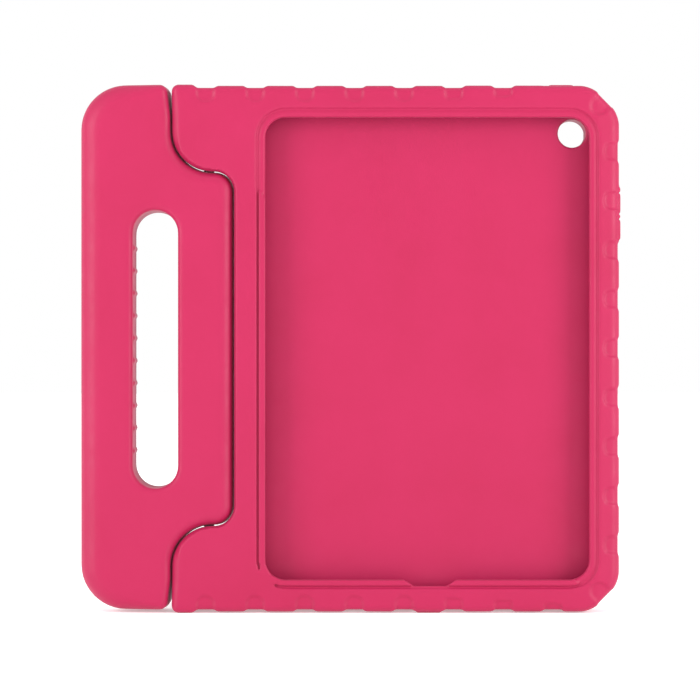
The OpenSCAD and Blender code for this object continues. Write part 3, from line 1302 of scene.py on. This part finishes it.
@dataclass(frozen=True)
class Handle:
    """The foam carry handle, with a finger slot and a row of grip nubs."""

    plan: Plan
    bottom: float = 1.5
    big_r: float = 22.0
    tip_r: float = 3.6
    soft_out: float = 10.0
    soft_top: float = 3.5
    soft_block: float = 5.8
    slot_x: float = -96.1
    slot_z: float = 129.9
    slot_w: float = 22.2
    slot_l: float = 136.9
    slot_soft: float = 2.6
    nubs: int = 10
    nub_pitch: float = 11.15
    nub_r: float = 1.3
    tip_lean: float = 1.9
    pitch: float = 0.6
    passes: int = 3

    @property
    def left(self) -> float:
        """X of the outer side."""
        return -self.plan.width / 2

    @property
    def inner(self) -> float:
        """X of the sides that face the arms."""
        p = self.plan
        return p.hinge_x - p.arm_reach - p.gap

    def outline(self) -> list[Corner]:
        """The handle's corners, seen from the front, with stops along its ends.

        Returns:
            X, Z and radius of each corner, anticlockwise from the lower left.
        """
        p = self.plan
        block_low, block_high = p.height - p.block_top, p.block_top
        right = p.hinge_x + p.half
        stops = (-108.0, -104.0, -100.0, -96.0)
        shoulder = p.arm_round + p.gap
        return [
            (self.left, self.bottom, self.big_r),
            *[(x, self.bottom, 0.0) for x in stops],
            (self.inner - self.tip_lean, self.bottom, self.tip_r),
            (self.inner, self.bottom + 15, 0.0),
            (self.inner, block_low, shoulder),
            (right, block_low, p.hub_round),
            (right, block_high, p.hub_round),
            (self.inner, block_high, shoulder),
            (self.inner, p.height - 16, 0.0),
            (self.inner - self.tip_lean, p.height, self.tip_r),
            *[(x, p.height, 0.0) for x in reversed(stops)],
            (self.left, p.height, self.big_r),
        ]

    def softness(self, x: float, z: float) -> float:
        """Radius of the rounded edge at a place on the outline.

        Args:
            x: X in millimetres.
            z: Z in millimetres.

        Returns:
            The radius in millimetres.
        """
        if x < -94:
            far = min(max((x + 120) / 22, 0.0), 1.0)
            return self.soft_out + (self.soft_top - self.soft_out) * far
        level = abs(z - self.plan.height / 2)
        near = min(max((112 - level) / 22, 0.0), 1.0)
        return self.soft_top + (self.soft_block - self.soft_top) * near

    def build(self) -> Object:
        """Builds the handle.

        Returns:
            The handle.
        """
        p = self.plan
        grip = prism("handle_grip_foam", self.outline(), -p.half, p.half, self.soft_out, softness=self.softness)
        p.lean_gap(grip)
        carve(grip, [block("corner", (p.hinge_x, 0, 0), (p.hinge_x + 20, 20, p.height))])
        carve(grip, [self.barrel()], Cut.ADD)
        carve(grip, [self.slot()])
        carve(grip, self.nub_bars(), Cut.ADD)
        skin, end = p.socket_skin, p.socket_skin + 23.2
        carve(grip, [*p.drilled(p.socket_r, p.block_top - end, p.block_top - skin),
                     *p.drilled(p.pin_hole, p.block_top - skin - 0.5, p.block_top + 1)])
        mould(grip, self.pitch, self.passes)
        return grip

    def barrel(self) -> Object:
        """The back of the hinge block, which is round about the hinge.

        Returns:
            The quarter barrel.
        """
        p = self.plan
        low, high, r = p.height - p.block_top, p.block_top, p.hub_round
        flat = p.half - r
        profile = [(0.0, low), *p.arc((flat, low + r), r, -90, 0, 10), *p.arc((flat, high - r), r, 0, 90, 10),
                   (0.0, high)]
        piece = turned("barrel", profile, p.axis)
        carve(piece, [block("quarter", (p.hinge_x - 0.5, -0.5, 0), (p.hinge_x + 20, 20, p.height))], Cut.KEEP)
        return piece

    def slot(self) -> Object:
        """The finger slot, flared at both faces.

        Returns:
            The cutter.
        """
        face, soft = self.plan.half, self.slot_soft

        def stadium(grow: float) -> list[Corner]:
            """The slot's outline, grown by a length."""
            width = self.slot_w + 2 * grow
            return centred(self.slot_x, self.slot_z, width, self.slot_l + 2 * grow, width / 2 * 0.999)

        flare = [(soft * (1 - math.sin(a)), face - soft * (1 - math.cos(a))) for a in QUARTER]
        front = [(stadium(g), -y) for g, y in flare]
        back = [(stadium(g), y) for g, y in reversed(flare)]
        ends = (stadium(soft), -face - 1), (stadium(soft), face + 1)
        return lofted("slot", [ends[0], *front, *back, ends[1]])

    def nub_bars(self) -> list[Object]:
        """The row of grip nubs on the slot's outer wall.

        Returns:
            The bars.
        """
        bars = []
        for index in range(self.nubs):
            level = self.slot_z + (index - (self.nubs - 1) / 2) * self.nub_pitch
            bar = drum("nub", self.nub_r, -8, 8, (0, 0), 24)
            turn(bar, 90, Vector(), "X")
            bar.data.transform(Matrix.Translation(millimetres(self.slot_x - self.slot_w / 2 - 0.3, 0, level)))
            bars.append(bar)
        return bars


# ---------------------------------------------------------------- the hinges


@dataclass(frozen=True)
class Hinge:
    """The steel pin of one hinge, which shows in the gap between arm and handle."""

    plan: Plan
    upper: bool
    pin_r: float = 2.4
    collar_r: float = 2.7
    collar_low: float = -0.92
    level: float = 218.5
    head_r: float = 4.4
    head_low: float = -22.4
    head_high: float = -20.9
    groove: float = 15.6
    groove_w: float = 0.7
    groove_r: float = 1.9
    tip: float = 17.6
    sides: int = 72

    @property
    def prefix(self) -> str:
        """Which hinge this is."""
        return "upper" if self.upper else "lower"

    def pin(self) -> Object:
        """Builds the pin: head, shank, fluted collar, ring groove and a chamfered tip.

        Returns:
            The pin.
        """
        r, c, base = self.pin_r, self.collar_r, self.collar_low
        low, high = self.head_low, self.head_high
        profile = [
            (0.0, low), (self.head_r - 0.35, low), (self.head_r, low + 0.35), (self.head_r, high - 0.25),
            (self.head_r - 0.25, high), (r, high), (r, base), (c, base + 0.06), (c, -0.14), (r, -0.08),
            (r, self.groove - 0.02), (self.groove_r, self.groove), (self.groove_r, self.groove + self.groove_w),
            (r, self.groove + self.groove_w + 0.02), (r, self.tip - 0.6), (r - 0.5, self.tip), (0.0, self.tip),
        ]
        piece = turned(f"{self.prefix}_hinge_pin_turned", profile, (0.0, 0.0), self.sides)
        with opened(piece) as bm:
            for vert in bm.verts:
                step = round(math.atan2(vert.co.y, vert.co.x) / math.tau * self.sides)
                radius = math.hypot(vert.co.x, vert.co.y) / MM
                if radius > r + 0.05 and base - 0.1 < vert.co.z / MM < 0 and step % 3 == 0:
                    bmesh.ops.scale(bm, vec=(0.93, 0.93, 1.0), verts=[vert])
        piece.data.transform(Matrix.Translation(millimetres(self.plan.hinge_x, 0, self.level)))
        return piece if self.upper else flipped(piece, self.plan.height)


# ---------------------------------------------------------------- the studio


@dataclass(frozen=True)
class Lamp:
    """A soft rectangular lamp."""

    name: str
    at: tuple[float, float, float]
    aim: tuple[float, float, float]
    wide: float
    tall: float
    power: float
    colour: Colour = (1.0, 1.0, 1.0)

    def place(self) -> None:
        """Adds the lamp to the scene."""
        light = bpy.data.lights.new(self.name, "AREA")
        light.shape = "RECTANGLE"
        light.size, light.size_y = self.wide, self.tall
        light.energy = self.power
        light.color = self.colour
        lamp = bpy.data.objects.new(self.name, light)
        lamp.location = self.at
        lamp.rotation_euler = (Vector(self.aim) - Vector(self.at)).to_track_quat("-Z", "Y").to_euler()
        bpy.context.scene.collection.objects.link(lamp)


@dataclass(frozen=True)
class Studio:
    """A white studio: a floor, an even white surround, broad side lamps and the camera."""

    white: float = 1.0
    camera_at: tuple[float, float, float] = (-0.0002, -1.21, 0.1296)
    lens: float = 125.2
    lamps: tuple[Lamp, ...] = (
        Lamp("left_softbox", (-0.95, -0.62, 0.25), (0.0, 0.0, 0.13), 0.45, 0.9, 11.0),
        Lamp("right_softbox", (0.95, -0.62, 0.25), (0.0, 0.0, 0.13), 0.45, 0.9, 12.0),
        Lamp("top_softbox", (0.0, -0.40, 1.15), (0.0, 0.0, 0.13), 1.0, 0.5, 2.0),
    )

    def surround(self) -> None:
        """Lights the scene evenly from all sides."""
        world = bpy.data.worlds.new("white_room")
        world.use_nodes = True
        shade = world.node_tree.nodes["Background"]
        shade.inputs["Color"].default_value = (1.0, 1.0, 1.0, 1.0)
        shade.inputs["Strength"].default_value = self.white
        bpy.context.scene.world = world

    def floor(self) -> Object:
        """Lays the floor.

        Returns:
            The floor.
        """
        bm = bmesh.new()
        bmesh.ops.create_grid(bm, x_segments=1, y_segments=1, size=6.0)
        piece = new_piece("floor", bm)
        piece.data.materials.append(StageFinish().make())
        return piece

    def camera(self) -> None:
        """Sets the camera square on to the screen side."""
        lens = bpy.data.cameras.new("camera")
        lens.lens = self.lens
        lens.sensor_width = 36.0
        lens.clip_start = 0.01
        camera = bpy.data.objects.new("camera", lens)
        camera.location = self.camera_at
        camera.rotation_euler = (math.radians(90), 0.0, 0.0)
        bpy.context.scene.collection.objects.link(camera)
        bpy.context.scene.camera = camera

    def set_up(self) -> None:
        """Sets the whole studio."""
        scene = bpy.context.scene
        scene.view_settings.view_transform = "Standard"
        scene.view_settings.look = "None"
        self.surround()
        floor = self.floor()
        for lamp in self.lamps:
            lamp.place()
        self.camera()


# ---------------------------------------------------------------- the whole case


@dataclass
class Case:
    """Builds, dresses and joins every piece of the case."""

    plan: Plan
    foam: Material = field(init=False)
    nylon: Material = field(init=False)
    steel: Material = field(init=False)

    def __post_init__(self) -> None:
        """Makes the three finishes."""
        self.foam = FoamFinish().make()
        self.nylon = NylonFinish().make()
        self.steel = SteelFinish().make()

    def build(self) -> None:
        """Builds every piece."""
        tray = Tray(self.plan)
        shell = tray.build()
        finish_piece(shell, self.foam, Body.CASE, ("body_shell",))
        grip = Handle(self.plan).build()
        finish_piece(grip, self.foam, Body.HANDLE, ("handle_grip",))
        for key in KEYS:
            finish_piece(key.build(tray), self.foam, key.body, (key.name,))
        for upper in (True, False):
            hinge = Hinge(self.plan, upper)
            finish_piece(hinge.pin(), self.steel, Body.CASE, (f"{hinge.prefix}_hinge_pin",))

    def dress_packed(self, nodes: dict[str, Object]) -> None:
        """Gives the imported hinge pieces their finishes.

        Args:
            nodes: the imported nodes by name.
        """
        finishes = {"arm_socket": self.nylon, "handle_hub": self.nylon, "thrust_washer": self.nylon,
                    "spring_washer": self.steel, "retaining_ring": self.steel}
        for name, piece in nodes.items():
            for ending, finish in finishes.items():
                if name.endswith(ending):
                    piece.data.materials.clear()
                    piece.data.materials.append(finish)
                    log.info("%s: dressed as %s", name, finish.name)


def main() -> None:
    """Builds the scene."""
    logging.basicConfig(level=logging.INFO, format="%(message)s")
    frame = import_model()
    plan = Plan(width=266.8, height=260.5, thick=26.0, hinge_x=-70.3)
    case = Case(plan)
    case.build()
    case.dress_packed(frame["nodes"])
    Studio().set_up()


if __name__ == "__main__":
    main()
